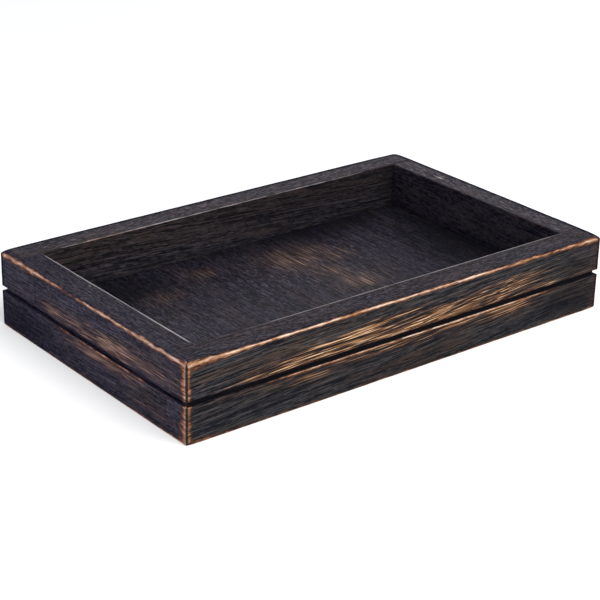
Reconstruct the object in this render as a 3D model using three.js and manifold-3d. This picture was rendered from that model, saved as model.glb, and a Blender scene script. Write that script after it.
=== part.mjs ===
// Display tray of dark oak: four grooved rails round a captured floor panel.
// The corners are rabbeted mitres, each held by two blind dowels.
// Millimetres, +Z up. The origin is the centre of the footprint, on the surface that carries the tray.
// +X runs along the long side and -Y is the front.

import * as THREE from 'three';
import { mergeVertices } from 'three/addons/utils/BufferGeometryUtils.js';
import Module from 'manifold-3d';

// Overall size
const trayLength = 330;
const trayWidth = 204;
const trayHeight = 51;

// Rail section: thickness and eased edges
const railThickness = 19;
const outerTopRound = 1.8;
const innerTopRound = 0.8;
const bottomRound = 0.8;
const cornerRound = 1.8;

// Shadow groove round the outside, centred on the height of the rails
const grooveHeight = 3.6;
const grooveDepth = 2.5;

// Rabbeted mitre: the side rails cover the ends of the front and back rails with a thin mitred lip
const lipBehindGroove = 2;
const glueGap = 0.3;

// Floor panel, seated in a dado that runs round the inside of the rails
const floorRecess = 13.6;
const panelThickness = 6;
const dadoDepth = 6;
const panelEdgeGap = 0.3;
const panelTopGap = 0.3;

// Blind dowels in the corner joints
const dowelDiameter = 6;
const dowelFit = 0.2;
const dowelEndGap = 0.3;
const dowelSkin = 7;
const dowelEndDepth = 18;

// Facets of round stretches, and how far a cutter overshoots the mouth of its cut
const edgeSteps = 4;
const dowelSides = 20;
const cutMargin = 1;

// Heights and depths that follow from the sizes above
const grooveBottom = (trayHeight - grooveHeight) / 2;
const grooveTop = grooveBottom + grooveHeight;
const dadoTop = floorRecess + panelThickness + panelTopGap;
const lipThickness = grooveDepth + lipBehindGroove;
const halfGap = glueGap / 2;

// Each dowel sits in the middle of the side rail's end, one above the groove and one below the floor
const dowelInset = (lipThickness + railThickness) / 2;
const dowelHeights = {
  upper: (grooveTop + trayHeight) / 2,
  lower: floorRecess / 2,
};
const dowelFaceDepth = railThickness - dowelSkin;
const dowelLength = dowelFaceDepth + dowelEndDepth - 2 * dowelEndGap;
const boreRadius = dowelDiameter / 2 + dowelFit;

const railWood = { color: 0x2e2a2b, roughness: 0.62, metalness: 0 };
const panelWood = { color: 0x28262c, roughness: 0.58, metalness: 0 };
const dowelWood = { color: 0xb98f5e, roughness: 0.75, metalness: 0 };

const wasm = await Module();
wasm.setup();

function toSolid(geometry) {
  const bare = geometry.clone();
  bare.deleteAttribute('normal');
  bare.deleteAttribute('uv');
  const merged = mergeVertices(bare);
  return new wasm.Manifold(new wasm.Mesh({
    numProp: 3,
    vertProperties: new Float32Array(merged.attributes.position.array),
    triVerts: new Uint32Array(merged.index.array),
  }));
}

function toGeometry(solid) {
  const mesh = solid.getMesh();
  const geometry = new THREE.BufferGeometry();
  geometry.setAttribute('position', new THREE.BufferAttribute(mesh.vertProperties, mesh.numProp));
  geometry.setIndex(new THREE.BufferAttribute(mesh.triVerts, 1));
  geometry.computeVertexNormals();
  return geometry;
}

function namedMesh(name, geometry, finish) {
  const mesh = new THREE.Mesh(geometry, new THREE.MeshStandardMaterial(finish));
  mesh.name = name;
  return mesh;
}

// Section of a rail: x is the depth from the outer face, y the height
function railSection() {
  const section = new THREE.Shape();
  const quarter = Math.PI / 2;
  section.moveTo(bottomRound, 0);
  section.lineTo(railThickness - bottomRound, 0);
  section.absarc(railThickness - bottomRound, bottomRound, bottomRound, -quarter, 0);
  section.lineTo(railThickness, floorRecess);
  section.lineTo(railThickness - dadoDepth, floorRecess);
  section.lineTo(railThickness - dadoDepth, dadoTop);
  section.lineTo(railThickness, dadoTop);
  section.absarc(railThickness - innerTopRound, trayHeight - innerTopRound, innerTopRound, 0, quarter);
  section.absarc(outerTopRound, trayHeight - outerTopRound, outerTopRound, quarter, 2 * quarter);
  section.lineTo(0, grooveTop);
  section.lineTo(grooveDepth, grooveTop);
  section.lineTo(grooveDepth, grooveBottom);
  section.lineTo(0, grooveBottom);
  section.absarc(bottomRound, bottomRound, bottomRound, 2 * quarter, 3 * quarter);
  return section;
}

// Mitred tip of a rail in plan: the eased outer corner, up to the seam
function mitredTip(halfLength) {
  const seamAngle = -Math.PI / 4 - Math.asin(halfGap / cornerRound);
  const arc = new THREE.EllipseCurve(
    halfLength - cornerRound, cornerRound, cornerRound, cornerRound, -Math.PI / 2, seamAngle);
  return arc.getPoints(edgeSteps);
}

// Plan of a rail whose right half is given: x runs along the rail, y is the depth from the outer face
function mirroredPlan(rightHalf) {
  const leftHalf = rightHalf.map((point) => new THREE.Vector2(-point.x, point.y));
  return new THREE.Shape([...rightHalf, ...leftHalf.reverse()]);
}

// Front and back rails run through to the lip of the side rails
function throughPlan() {
  const halfLength = trayLength / 2;
  const mitreReach = halfLength - halfGap * Math.SQRT2;
  const endFace = halfLength - lipThickness - halfGap;
  return mirroredPlan([
    ...mitredTip(halfLength),
    new THREE.Vector2(endFace, mitreReach - endFace),
    new THREE.Vector2(endFace, railThickness),
  ]);
}

// Side rails butt against the inner faces of the through rails and cover their ends with the lip
function sidePlan() {
  const halfLength = trayWidth / 2;
  const mitreReach = halfLength - halfGap * Math.SQRT2;
  const lipFace = lipThickness - halfGap;
  const buttFace = halfLength - railThickness - halfGap;
  return mirroredPlan([
    ...mitredTip(halfLength),
    new THREE.Vector2(mitreReach - lipFace, lipFace),
    new THREE.Vector2(buttFace, lipFace),
    new THREE.Vector2(buttFace, railThickness),
  ]);
}

// A rail is its section run along X, kept inside its plan
function railBlank(length, plan) {
  const run = new THREE.ExtrudeGeometry(railSection(), {
    depth: length,
    bevelEnabled: false,
    curveSegments: edgeSteps,
  });
  const alongY = new THREE.Vector3(0, 1, 0);
  const alongZ = new THREE.Vector3(0, 0, 1);
  const alongX = new THREE.Vector3(1, 0, 0);
  run.applyMatrix4(new THREE.Matrix4().makeBasis(alongY, alongZ, alongX));
  run.translate(-length / 2, 0, 0);
  const outline = new THREE.ExtrudeGeometry(plan, { depth: trayHeight, bevelEnabled: false });
  return toSolid(run).intersect(toSolid(outline));
}

// Bores for the dowels of both ends, each a cylinder of the given length along Y, turned and placed
function boreDowels(rail, boreLength, turn, placeBore) {
  let bored = rail;
  for (const end of [-1, 1]) {
    for (const height of Object.values(dowelHeights)) {
      const bore = new THREE.CylinderGeometry(boreRadius, boreRadius, boreLength, dowelSides);
      bore.rotateZ(turn);
      bore.translate(...placeBore(end, height));
      bored = bored.subtract(toSolid(bore));
    }
  }
  return bored;
}

function throughRail() {
  const boreLength = dowelFaceDepth + cutMargin;
  const boreInset = trayLength / 2 - dowelInset;
  const boreMiddle = dowelSkin + boreLength / 2;
  const placeBore = (end, height) => [end * boreInset, boreMiddle, height];
  return toGeometry(boreDowels(railBlank(trayLength, throughPlan()), boreLength, 0, placeBore));
}

function sideRail() {
  const boreLength = dowelEndDepth + cutMargin;
  const boreBottom = trayWidth / 2 - railThickness - dowelEndDepth;
  const boreMiddle = boreBottom + boreLength / 2;
  const placeBore = (end, height) => [end * boreMiddle, dowelInset, height];
  return toGeometry(boreDowels(railBlank(trayWidth, sidePlan()), boreLength, Math.PI / 2, placeBore));
}

function floorPanel() {
  const reach = railThickness - dadoDepth + panelEdgeGap;
  const geometry = new THREE.BoxGeometry(trayLength - 2 * reach, trayWidth - 2 * reach, panelThickness);
  const panel = namedMesh('floor_panel', geometry, panelWood);
  panel.position.z = floorRecess + panelThickness / 2;
  return panel;
}

function cornerDowels() {
  const dowels = new THREE.Group();
  const geometry = new THREE.CylinderGeometry(dowelDiameter / 2, dowelDiameter / 2, dowelLength, dowelSides);
  const x = trayLength / 2 - dowelInset;
  const y = trayWidth / 2 - dowelSkin - dowelEndGap - dowelLength / 2;
  for (const [frontBack, ySign] of [['front', -1], ['back', 1]]) {
    for (const [leftRight, xSign] of [['left', -1], ['right', 1]]) {
      for (const [level, height] of Object.entries(dowelHeights)) {
        const dowel = namedMesh(`dowel_${frontBack}_${leftRight}_${level}`, geometry, dowelWood);
        dowel.position.set(xSign * x, ySign * y, height);
        dowels.add(dowel);
      }
    }
  }
  return dowels;
}

// Each rail's outer face is turned outwards and set on its side of the footprint
function rails() {
  const frame = new THREE.Group();
  const through = throughRail();
  const side = sideRail();
  const places = [
    ['front_rail', through, 0, 0, -trayWidth / 2],
    ['back_rail', through, Math.PI, 0, trayWidth / 2],
    ['left_rail', side, -Math.PI / 2, -trayLength / 2, 0],
    ['right_rail', side, Math.PI / 2, trayLength / 2, 0],
  ];
  for (const [name, geometry, turn, x, y] of places) {
    const rail = namedMesh(name, geometry, railWood);
    rail.rotation.z = turn;
    rail.position.set(x, y, 0);
    frame.add(rail);
  }
  return frame;
}

const tray = new THREE.Group();
tray.add(rails(), floorPanel(), cornerDowels());

export default tray;
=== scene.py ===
"""Looks of the display tray: worn near-black oak rails round a stained floor panel, on a pale studio floor.

Metres, +Z up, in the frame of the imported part. A board has its own coordinates: u along the board from its
middle, v the depth from its outer face, w the height.
"""

import math
from typing import NamedTuple

import bmesh
import bpy
import numpy as np
from mathutils import Matrix, Vector


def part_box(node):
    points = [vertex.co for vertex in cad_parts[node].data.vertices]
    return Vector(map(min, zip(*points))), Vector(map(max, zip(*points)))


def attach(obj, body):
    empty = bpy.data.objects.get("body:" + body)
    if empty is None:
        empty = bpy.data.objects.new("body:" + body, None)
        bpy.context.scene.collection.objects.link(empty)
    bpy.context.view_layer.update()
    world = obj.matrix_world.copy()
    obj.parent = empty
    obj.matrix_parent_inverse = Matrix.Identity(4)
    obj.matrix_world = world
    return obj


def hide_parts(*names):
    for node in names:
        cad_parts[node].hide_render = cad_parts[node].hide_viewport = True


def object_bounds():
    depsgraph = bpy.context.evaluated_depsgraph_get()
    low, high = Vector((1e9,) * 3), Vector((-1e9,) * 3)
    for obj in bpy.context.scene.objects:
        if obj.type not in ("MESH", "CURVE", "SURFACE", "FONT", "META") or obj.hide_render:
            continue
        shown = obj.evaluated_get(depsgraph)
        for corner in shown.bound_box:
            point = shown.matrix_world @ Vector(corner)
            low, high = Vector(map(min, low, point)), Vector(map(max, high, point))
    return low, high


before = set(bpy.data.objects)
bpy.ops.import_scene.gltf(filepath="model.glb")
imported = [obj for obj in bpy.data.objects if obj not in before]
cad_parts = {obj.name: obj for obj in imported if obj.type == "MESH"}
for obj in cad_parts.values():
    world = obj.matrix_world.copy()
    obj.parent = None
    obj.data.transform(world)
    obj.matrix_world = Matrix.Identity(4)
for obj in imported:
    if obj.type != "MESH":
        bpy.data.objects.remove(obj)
cad_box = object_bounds()

MM = 0.001

# Sizes read from the frame
TRAY_LOW, TRAY_HIGH = cad_box
TRAY_LENGTH = TRAY_HIGH.x - TRAY_LOW.x
TRAY_WIDTH = TRAY_HIGH.y - TRAY_LOW.y
TRAY_HEIGHT = TRAY_HIGH.z - TRAY_LOW.z
FRONT_LOW, FRONT_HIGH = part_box("front_rail")
RAIL_THICKNESS = FRONT_HIGH.y - FRONT_LOW.y
PANEL_LOW, PANEL_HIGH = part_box("floor_panel")

# Groove, corner joint and dado of the rails
GROOVE_HEIGHT = 3.6 * MM
GROOVE_DEPTH = 2.5 * MM
LIP_THICKNESS = 4.5 * MM
HALF_SEAM = 0.15 * MM
MITRE_SEAM = HALF_SEAM * math.sqrt(2)
DADO_DEPTH = 6.0 * MM
DADO_TOP_GAP = 0.3 * MM
GROOVE_BOTTOM = (TRAY_HEIGHT - GROOVE_HEIGHT) / 2
GROOVE_TOP = GROOVE_BOTTOM + GROOVE_HEIGHT
DADO_BOTTOM = PANEL_LOW.z
DADO_TOP = PANEL_HIGH.z + DADO_TOP_GAP

# Worn edges: mean radius of each and how much it varies along the board, with chips here and there
EDGE_RADII = {
    "outer_top": (1.7 * MM, 0.35 * MM),
    "inner_top": (0.8 * MM, 0.2 * MM),
    "outer_bottom": (0.8 * MM, 0.25 * MM),
    "inner_bottom": (0.6 * MM, 0.15 * MM),
    "groove_lower": (0.45 * MM, 0.2 * MM),
    "groove_upper": (0.3 * MM, 0.1 * MM),
}
EDGE_WAVE = 22 * MM
CHIP_LENGTH = 7 * MM
CHIP_LEVEL = 0.45
CHIP_WEIGHT = 1.6
CORNER_RADIUS = 1.3 * MM
CORNER_RADIUS_SWING = 0.4 * MM
CORNER_WAVE = 9 * MM
CORNER_SWELL = {"outer_top": 1.8 * MM, "outer_bottom": 0.9 * MM}
CORNER_SWELL_REACH = 5 * MM

# Dips of the flat faces: depth, lengths of their noise along u, v and w, and what counts as on a face
FACE_DIP = 0.12 * MM
DIP_LENGTHS = (60 * MM, 12 * MM, 12 * MM)
FLAT_TOLERANCE = 0.01 * MM

# Grid of a rail: stations along it, shares of the way along a lip, and steps round its section
STATION_STEP = 2.0 * MM
LIP_SHARES = (0.25, 0.5, 0.68, 0.8, 0.88, 0.93, 0.965, 1.0)
FLAT_STEPS = {
    "lip_foot": 4, "outer_face": 16, "groove": 2, "lip_top": 3, "rim": 10, "well": 18,
    "dado_side": 2, "dado_end": 1, "below_dado": 6, "underside": 8,
}
EDGE_STEPS = {
    "outer_top": 8, "inner_top": 6, "outer_bottom": 4, "inner_bottom": 4,
    "groove_lower": 4, "groove_upper": 4,
}
# Points nearer than this become one, and edges that turn more than this stay sharp
MERGE_DISTANCE = 1e-7
SHARP_ANGLE = math.radians(32)

# What each noise of a rail adds to the rail's seed, and the octaves of the coarser ones
CHIP_SEED = 40
RUB_SEED = 20
RUB_WIDTH_SEED = 60
DIP_SEED = 70
CORNER_SEED = 80
COARSE_OCTAVES = 2

# How far rubbing reaches from each edge, back and forward along the ring of the section
RUB_REACH = {
    "outer_top": (2.2 * MM, 1.3 * MM),
    "inner_top": (1.0 * MM, 1.0 * MM),
    # inner_glint: reach of the painted highlight along the inner top edge
    "inner_glint": (1.6 * MM, 1.2 * MM),
    "outer_bottom": (1.3 * MM, 2.2 * MM),
    "inner_bottom": (1.0 * MM, 1.0 * MM),
    "groove_lower": (2.6 * MM, 0.8 * MM),
    "groove_upper": (0.6 * MM, 1.2 * MM),
}
# Where round a rounded edge its rubbing is centred, as a share of its arc
RUB_PLACE = {"outer_top": 0.25}
USUAL_RUB_PLACE = 0.5
# How rubbing varies along an edge, in strength and in width
RUB_WAVE = 30 * MM
RUB_SWING = 0.15
RUB_WIDTH_WAVE = 16 * MM
RUB_WIDTH_SWING = 0.3
RUB_WIDTH_LANE = 9
# Rubbing and dark lines at the upright corner edges: depth, what rounding takes off the tip, and sharpness
CORNER_DEPTH = 2.6 * MM
CORNER_TIP = 0.7 * MM
CORNER_LINE_POWER = 4

# How deep the outer face and the face towards the well go, and how soft spots fade at the borders of a face
OUTER_FACE_DEPTH = 0.6 * MM
WELL_FACE_DEPTH = 1.0 * MM
PATCH_FADE = 1.2 * MM
RIM_FADE = 1.5 * MM

# Darkening of the colour: dark seams, painted shade in the groove, below it and at the foot of the well, and
# a darker line beside the rim's outer edge
SEAM_SHADE = 0.9
GROOVE_SLACK = 0.1 * MM
GROOVE_SHADE_START = 0.3 * MM
GROOVE_SHADE_REACH = 0.8 * MM
LOWER_SHADE_REACH = 2 * MM
RIM_LINE_PLACE = 2.2 * MM
RIM_LINE_REACH = 2.0 * MM
WELL_FOOT_SHADE = 0.6
WELL_FOOT_REACH = 11 * MM

# Grain of the rails: its place for each unit of the seed, and the faces towards the well, where a share of u
# counts, so that the grain is longer, and where it is quieter and warmer
GRAIN_PLACE = (0.7, 0.31, 0.13)
WELL_GRAIN_SHARE = 0.7
WELL_CALM = 0.5
WELL_WARM = 0.9
# Flecks of the rails, and what the faces towards the well, quiet grain and scuffs add to them
RAIL_FLECKS = 0.3
WELL_FLECKS = 0.05
CALM_FLECKS = -0.15
SCUFF_FLECKS = 2

# Unrolled map of a rail: strips for the ring of the section, the end faces and the backs of the lips
RING_SHARE = 0.925
END_STRIP = (0.935, 0.975)
LIP_BACK_STRIP = (0.985, 1.0)
MAP_MARGIN = 0.05

# Floor panel: its grid, its dips, the place of its grain and the strips of its unrolled map
PANEL_STEP = 3 * MM
PANEL_DIP = 0.1 * MM
PANEL_DIP_LENGTHS = (18 * MM, 60 * MM, 1.0)
PANEL_SEED = 301
PANEL_GRAIN_PLACE = (5.1, 2.3, 3.7)
PANEL_TOP_STRIP = (0.0, 0.62)
PANEL_FOOT_STRIP = (0.64, 0.94)
PANEL_BORDER_STRIP = (0.96, 1.0)

# Wear and painted shade of the floor: soft spots, in millimetres, as x, y, half length in x and in y, and
# strength; the darker spots (FLOOR_SHADES) are painted shade near the walls of the well
FLOOR_PATCHES = (
    (27, 45, 34, 27, 0.37), (50, 34, 22, 16, 0.28), (32, 12, 24, 34, 0.27),
    (35, -12, 27, 18, 0.32), (-81, 40, 24, 14, 0.28), (-41, 58, 17, 12, 0.28),
)
FLOOR_FLECKS = ((-88, 38, 34, 18, 0.5), (-120, -5, 40, 30, 0.35), (25, 30, 60, 40, 0.35))
FLOOR_SHADES = ((-115, 62, 64, 36, 0.9), (70, 84, 110, 28, 0.95), (150, 0, 52, 90, 0.92))
FLOOR_FLECK = 0.22
# Painted shade on the floor beside the rails, and how far from them it fades
FLOOR_EDGE_SHADE = 0.45
FLOOR_SHADE_REACH = 16 * MM

# Camera of the photograph
CAMERA_EYE = Vector((-0.6601, -0.8146, 0.4702))
CAMERA_AZIMUTH = math.radians(-38.84)
CAMERA_ELEVATION = math.radians(23.66)
CAMERA_ROLL = math.radians(1.28)
FOCAL_PIXELS = 1762.0
FRAME_PIXELS = 600.0
SENSOR_MM = 36.0

# Studio: a floor that glows more away from the tray, a square lamp and a dim room
FLOOR_REACH = 6.0
FLOOR_DROP = 0.05 * MM
FLOOR_COLOUR = (0.93, 0.93, 0.93, 1)
GLOW_NEAR = 0.33
GLOW_RISE = 0.6
GLOW_RANGE = (0.6, 3.0)
LAMP_PLACE = (0.1, -1.35, 1.55)
LAMP_SIZE = 1.8
LAMP_POWER = 37.0
ROOM_COLOUR = (0.94, 0.96, 1.0, 1)
ROOM_LIGHT = 0.44
WHITE = (1, 1, 1, 1)


class Board(NamedTuple):
    """Place and grain of a rail."""

    through: bool  # whether it runs through at the corners
    turn: float  # about Z, in degrees
    place: tuple  # foot of its outer face, in the middle
    seed: int
    slope: float  # of its grain
    calm: float  # how quiet the grain is on its outer face


BOARDS = {
    "front_rail": Board(True, 0, (0, TRAY_LOW.y, 0), 11, 0.045, 0.0),
    "back_rail": Board(True, 180, (0, TRAY_HIGH.y, 0), 23, 0.05, 0.0),
    "left_rail": Board(False, -90, (TRAY_LOW.x, 0, 0), 37, 0.03, 0.6),
    "right_rail": Board(False, 90, (TRAY_HIGH.x, 0, 0), 53, 0.04, 0.85),
}


class WearAndShade(NamedTuple):
    """Wear, painted highlight and painted shade of a rail: places and sizes in millimetres, strengths from 0
    to about 1.

    A spot on the outer face is u, w, half length, half height, slope and strength. A spot on the rim is u, v,
    half length, half depth and strength. Corners come at low u and at high u, with strength and reach.
    """

    edges: dict  # rubbing along each edge, and the painted highlight along the inner top edge (inner_glint), in marks of u, strength and width
    corners: tuple  # rubbing at the upright corner edges
    corner_lines: tuple  # dark lines there
    sand: tuple  # sanded spots on the outer face
    lower: float  # painted shade on the outer face below the groove: how dark it is
    line: float  # how dark the line beside the rim's outer edge is
    pale: float  # how many more flecks the rim has
    shade: tuple = ()  # dark spots on the outer face
    tint: tuple = ()  # warm spots on the outer face
    rim: tuple = ()  # dark spots on the rim
    scuffs: tuple = ()  # pale spots on the rim
    well: tuple = ((0, 0.1),)  # painted shade on the face towards the well: how dark it is, in marks of u and strength
    groove: float = 1.0  # painted shade in the groove: how dark it is


WEAR_AND_SHADE = {
    "front_rail": WearAndShade(
        edges={
            "outer_top": (
                (-165, 0.74, 3.3), (-151, 0.76, 3.0), (-138, 0.84, 1.8), (-120, 1.0, 1.0), (-65, 1.0, 1.0),
                (-42, 0.76, 1.5), (-15, 0.95, 1.1), (45, 0.92, 1.1), (80, 0.75, 1.4), (130, 0.7, 1.5),
                (159, 0.74, 2.2), (165, 0.5, 1.4),
            ),
            "inner_glint": (
                (-148, 0.5, 1.2), (-110, 0.6, 1.2), (-75, 0.85, 1.3), (130, 0.85, 1.3), (142, 0.5, 1.2),
            ),
            "outer_bottom": (
                (-165, 0.64, 1.7), (-130, 0.6, 1), (120, 0.6, 1), (150, 0.56, 1.2), (165, 0.6, 1.5),
            ),
            "inner_bottom": ((0, 0.3, 1),),
            "groove_lower": (
                (-125, 0.1, 1), (-100, 0.45, 0.7), (-80, 0.7, 0.8), (0, 0.85, 0.9), (112, 0.75, 0.8),
                (126, 0.4, 0.5), (140, 0.1, 1),
            ),
            "groove_upper": ((-95, 0.0, 1), (-80, 0.4, 1), (70, 0.55, 1), (110, 0.3, 1), (130, 0.0, 1)),
        },
        corners=((0.72, 4.8), (0.5, 7)),
        corner_lines=((1.0, 0.8), (1.0, 2.4)),
        sand=(
            (-66, 31, 58, 6.2, 0.05, 0.67), (30, 32, 62, 6, 0.06, 0.56), (76, 35, 42, 6.5, 0.07, 0.4),
            (5, 28.4, 125, 2.0, 0, 0.6), (-34, 37, 38, 3.6, 0.09, 0.73), (-5, 20.5, 125, 4.4, 0, 0.3),
            (-80, 19, 32, 4, 0.03, 0.32), (84, 20, 32, 4.4, 0.03, 0.53), (4, 22.3, 18, 1.4, 0.07, 0.62),
            (122, 34, 40, 8, 0.03, 0.1), (140, 26, 45, 18, 0, 0.1),
        ),
        lower=0.34,
        line=0.2,
        pale=0.1,
        shade=(
            (140, 12, 45, 14, 0, 0.76), (145, 34, 40, 10, 0, 0.5), (-130, 44, 40, 6, 0, 0.1),
            (0, 46.3, 400, 2.6, 0, 0.3),
        ),
        tint=(
            (-20, 32, 110, 9, 0.03, 0.8), (90, 24, 70, 16, 0, 0.7), (150, 20, 40, 24, 0, 0.8),
            (-60, 18, 70, 8, 0, 0.5),
        ),
        rim=((0, 10, 400, 60, 0.1),),
    ),
    "back_rail": WearAndShade(
        edges={
            "outer_top": (
                (-165, 0.82, 1.2), (-140, 0.75, 1.0), (-60, 0.7, 0.9), (0, 0.95, 0.9), (70, 0.9, 0.9),
                (120, 0.75, 1.0), (165, 0.8, 1.2),
            ),
            "inner_top": (
                (-150, 0.3, 1), (-20, 0.36, 1.4), (60, 0.46, 1.5), (112, 0.52, 1.6), (122, 0.3, 1),
                (140, 0, 1),
            ),
            "inner_glint": (
                (-150, 0.2, 0.8), (-110, 0.6, 0.9), (-60, 0.66, 0.9), (40, 0.64, 0.9), (75, 0.62, 0.8),
                (112, 0.64, 0.9), (124, 0.6, 0.9), (140, 0.48, 0.8),
            ),
            "outer_bottom": ((-165, 0.8, 1.6), (0, 0.68, 1.1), (165, 0.8, 1.6)),
            "inner_bottom": ((0, 0.3, 1),),
            "groove_lower": ((-150, 0.2, 1), (-90, 0.75, 0.8), (90, 0.8, 0.9), (140, 0.2, 1)),
            "groove_upper": ((0, 0.2, 1),),
        },
        corners=((0.65, 6), (0.65, 6)),
        corner_lines=((0.6, 0.6), (0.6, 0.6)),
        sand=(
            (20, 33, 120, 8, 0.03, 0.3), (70, 33, 40, 3.5, 0.08, 0.68), (30, 30, 34, 3, 0.05, 0.6),
            (-60, 34, 40, 4, 0.07, 0.6), (10, 20, 50, 4, 0.04, 0.45),
        ),
        lower=0.3,
        line=0.95,
        pale=0.55,
        tint=((60, 24, 90, 18, 0, 0.5),),
        rim=((150, 10, 40, 14, 0.2),),
        well=((-146, 0.6), (-60, 0.48), (60, 0.25), (146, 0.15)),
    ),
    "left_rail": WearAndShade(
        edges={
            "outer_top": (
                (-102, 0.4, 1.2), (-96, 0.78, 1.8), (-80, 0.82, 2.1), (-60, 0.8, 1.8), (-48, 0.72, 1.4),
                (-36, 0.58, 1.2), (-22, 0.5, 1), (-8, 0.62, 1.2), (10, 0.78, 1.5), (40, 0.8, 1.5),
                (75, 0.82, 1.55), (102, 0.82, 2.4),
            ),
            "inner_glint": (
                (-83, 0.4, 1.1), (-75, 0.9, 1.2), (20, 0.85, 1.2), (40, 1.1, 1.4), (75, 1.1, 1.4),
                (83, 0.5, 1),
            ),
            "outer_bottom": ((-102, 0.6, 1.2), (50, 0.58, 1), (80, 0.66, 1.3), (102, 0.76, 2)),
            "inner_bottom": ((0, 0.3, 1),),
            "groove_lower": ((-60, 0.1, 1), (-30, 0.45, 1), (20, 0.62, 1.1), (50, 0.55, 1), (66, 0.25, 0.8)),
            "groove_upper": ((-60, 0.0, 1), (-45, 0.25, 1), (0, 0.1, 1)),
        },
        corners=((0.3, 5), (0.76, 9)),
        corner_lines=((1.0, 2.6), (1.0, 0.5)),
        sand=(
            (14, 31, 90, 10, 0, 0.44), (-39, 32, 20, 6, 0.04, 0.53), (27, 33, 32, 7, 0.06, 0.7),
            (16, 20, 48, 4, 0.01, 0.66), (68, 33, 44, 12, 0, 0.37), (64, 12, 44, 10, 0, 0.3),
        ),
        lower=0.12,
        line=0.18,
        pale=0.1,
        # painted shadow low on the far end of the left face
        shade=((-80, 10, 50, 16, 0, 0.72),),
        rim=((-85, 10, 70, 18, 0.38), (0, 10, 400, 60, 0.12)),
        scuffs=((-21, 15, 5, 1.5, 0.42), (-14, 13, 3, 0.8, 0.4)),
        groove=0.35,
    ),
    "right_rail": WearAndShade(
        edges={
            "outer_top": (
                (-102, 0.8, 1.3), (-80, 0.78, 1.0), (-30, 0.82, 1.0), (20, 0.6, 0.9), (50, 0.76, 1.0),
                (102, 0.8, 1.2),
            ),
            "inner_top": ((0, 0.2, 1),),
            "outer_bottom": ((-102, 0.8, 1.6), (0, 0.58, 1), (102, 0.75, 1.6)),
            "inner_bottom": ((0, 0.3, 1),),
            "groove_lower": ((-90, 0.1, 1), (-30, 0.7, 0.8), (50, 0.7, 0.8), (90, 0.1, 1)),
            "groove_upper": ((0, 0.2, 1),),
        },
        corners=((0.4, 6), (0.65, 6)),
        corner_lines=((1.0, 2.0), (0.6, 0.6)),
        sand=(
            (0, 31, 80, 10, 0, 0.2), (-24, 33, 32, 6, 0.06, 0.6), (40, 34, 24, 5, 0.05, 0.55),
            (10, 20, 40, 4, 0.02, 0.62),
        ),
        lower=0.25,
        line=0.95,
        pale=0.65,
        scuffs=((42, 11, 10, 2.6, 0.53), (28, 13, 5, 1.2, 0.4), (60, 12, 4, 1, 0.4)),
        well=((0, 0.15),),
        groove=0.6,
    ),
}


class Oak(NamedTuple):
    """A stained oak: its colours, as hexadecimal codes, and its grain."""

    tones: tuple  # stain, from its darkest to its lightest
    calm_tones: tuple  # its two lighter tones where the grain is quiet
    warm_tone: str  # stain of the warm places
    sanded: tuple  # sanded patch: ground, raised streaks and brightest streaks
    bare: tuple  # rubbed edge, from its border to its pale core, which is partly painted highlight
    fleck_tone: str  # flecks, where the stain didn't take
    length: float  # scale of the grain's length
    width: float  # scale of its width
    speckle: float  # how grainy the stain is
    streaky: float  # how much the grain shows in a sanded patch
    gloss: float  # specular level


OAKS = {
    "long_rail_oak": Oak(
        tones=("131419", "2c2f35", "534f4d"), calm_tones=("211d28", "49434f"), warm_tone="4c382b",
        sanded=("4a3422", "8e5d3c", "ecc398"), bare=("58392b", "ae7a58", "f6dfca"), fleck_tone="746a6e",
        length=1.5, width=1.05, speckle=0.3, streaky=0.95, gloss=0.03,
    ),
    "side_rail_oak": Oak(
        tones=("131323", "443f55", "6a647d"), calm_tones=("292632", "45404f"), warm_tone="3c3636",
        sanded=("5a4a4c", "88685f", "caa694"), bare=("5c3f3a", "b68068", "f2d2c0"), fleck_tone="857d82",
        length=1.05, width=1.0, speckle=0.32, streaky=0.5, gloss=0.02,
    ),
    "panel_oak": Oak(
        tones=("07070c", "1f1c28", "3a3543"), calm_tones=("1f1c28", "3a3543"), warm_tone="443638",
        sanded=("58453c", "70574b", "bda190"), bare=("58392b", "ac7047", "f3d3ab"), fleck_tone="7a7480",
        length=1.5, width=1.0, speckle=0.22, streaky=0.75, gloss=0.06,
    ),
}

# Noises of an oak: length along and across the grain in millimetres, detail and roughness
OAK_NOISES = {
    "drift": (110, 30, 1.0, 0.5),
    "broad": (180, 6, 2.0, 0.5),
    "lines": (140, 1.2, 2.0, 0.6),
    "streak": (70, 0.6, 2.0, 0.6),
    "fine": (18, 0.5, 1.0, 0.5),
    "pores": (9, 0.3, 0.0, 0.5),
    "cloud": (16, 7, 2.0, 0.5),
    "speck": (2.6, 1.8, 1.0, 0.6),
    "hue": (75, 13, 2.0, 0.5),
    "flecks": (6, 0.6, 1.0, 0.5),
    "ragged": (8, 2.0, 3.0, 0.6),
}
# Noises whose length or width the oak's own grain scales
SCALED_LENGTHS = ("broad", "lines", "streak", "fine", "pores")
SCALED_WIDTHS = ("lines", "streak", "fine", "pores", "flecks")
# Where each mask of an oak starts and where it is full
OAK_RAMPS = {
    "pores": (0.76, 0.85),
    "open_grain": (-0.08, 0.08),
    "middle_tone": (-0.06, 0.0),
    "light_tone": (0.0, 0.07),
    "hue": (0.46, 0.66),
    "flecks": (0.54, 0.72),
    "sanded_ground": (0.03, 0.6),
    "sanded_streaks": (0.04, 0.3),
    "raised": (0.38, 0.64),
    "brightest": (0.5, 1.15),
    "near_edge": (0.02, 0.25),
    "border": (0.18, 0.44),
    "worn": (0.40, 0.60),
    "core": (0.60, 0.92),
    "glint": (0.35, 0.7),
}
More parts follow.
